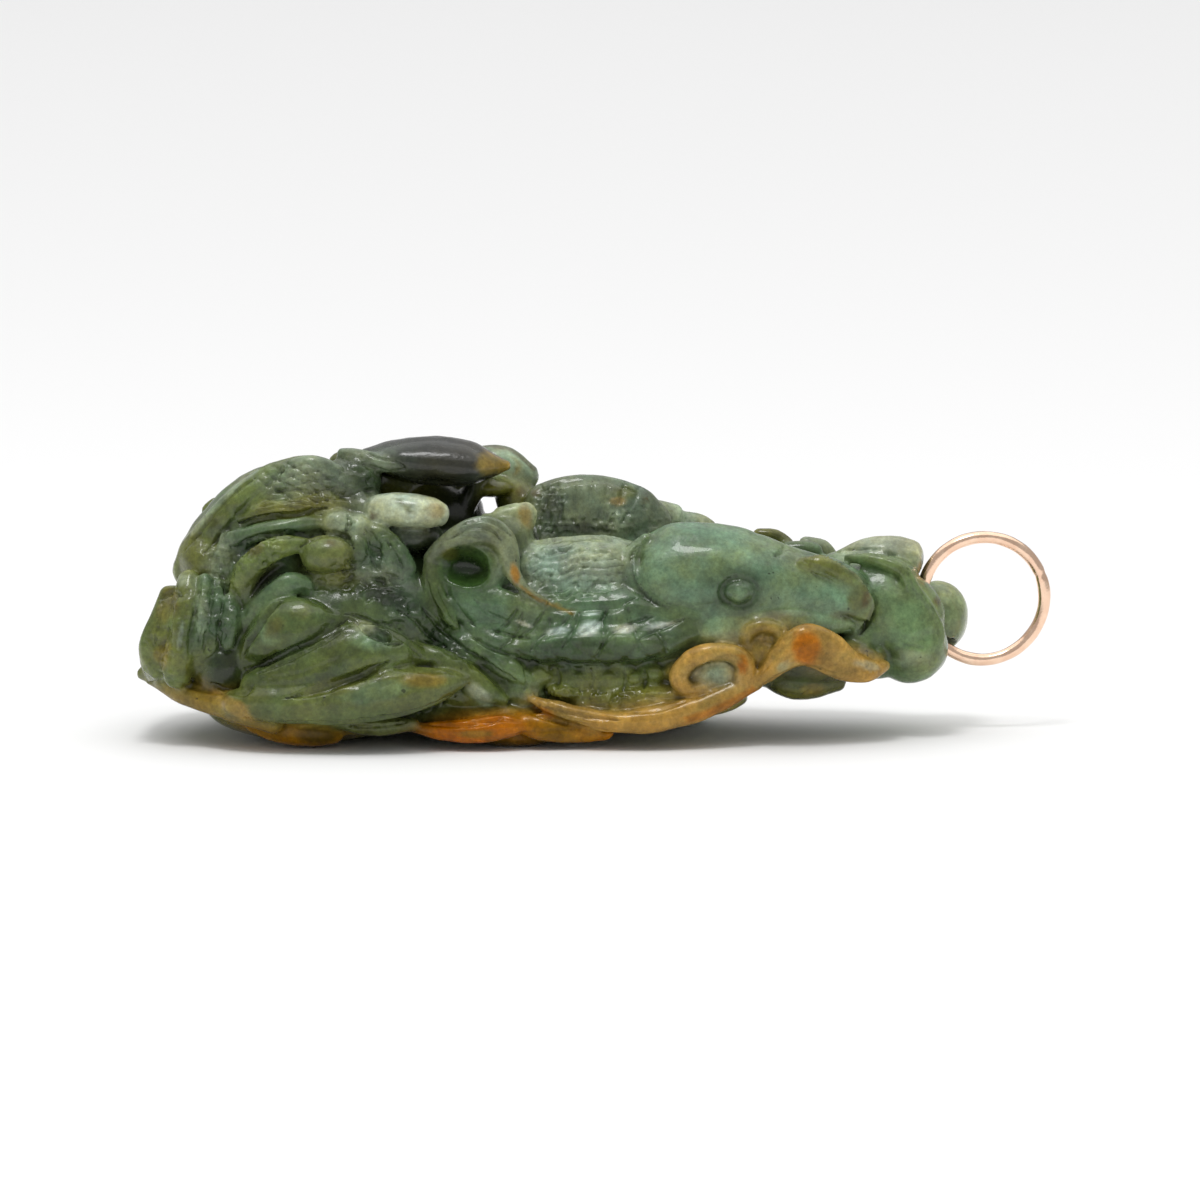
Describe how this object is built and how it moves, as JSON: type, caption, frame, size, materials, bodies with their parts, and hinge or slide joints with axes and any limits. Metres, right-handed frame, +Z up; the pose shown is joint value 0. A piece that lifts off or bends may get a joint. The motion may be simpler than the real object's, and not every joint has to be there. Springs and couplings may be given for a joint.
{
  "type": "carved jade pendant",
  "caption": "Jade pendant carved in the round as a carp among leaves, buds and waves, lying on its back, with a rose gold jump ring through its end lobe.",
  "frame": {"origin": "below the middle of the whole, on the surface that the feet rest on", "axes": "+X along the carving towards the ring, +Y away from the side with the ribbon, +Z up"},
  "size_m": [0.0784, 0.0288, 0.0258],
  "materials": {
    "jade": "polished green jade with amber, olive and dark grey zones",
    "rose_gold": "polished rose gold"
  },
  "bodies": {
    "root": {"jade_carving": "jade", "gold_ring": "rose_gold"}
  },
  "joints": []
}
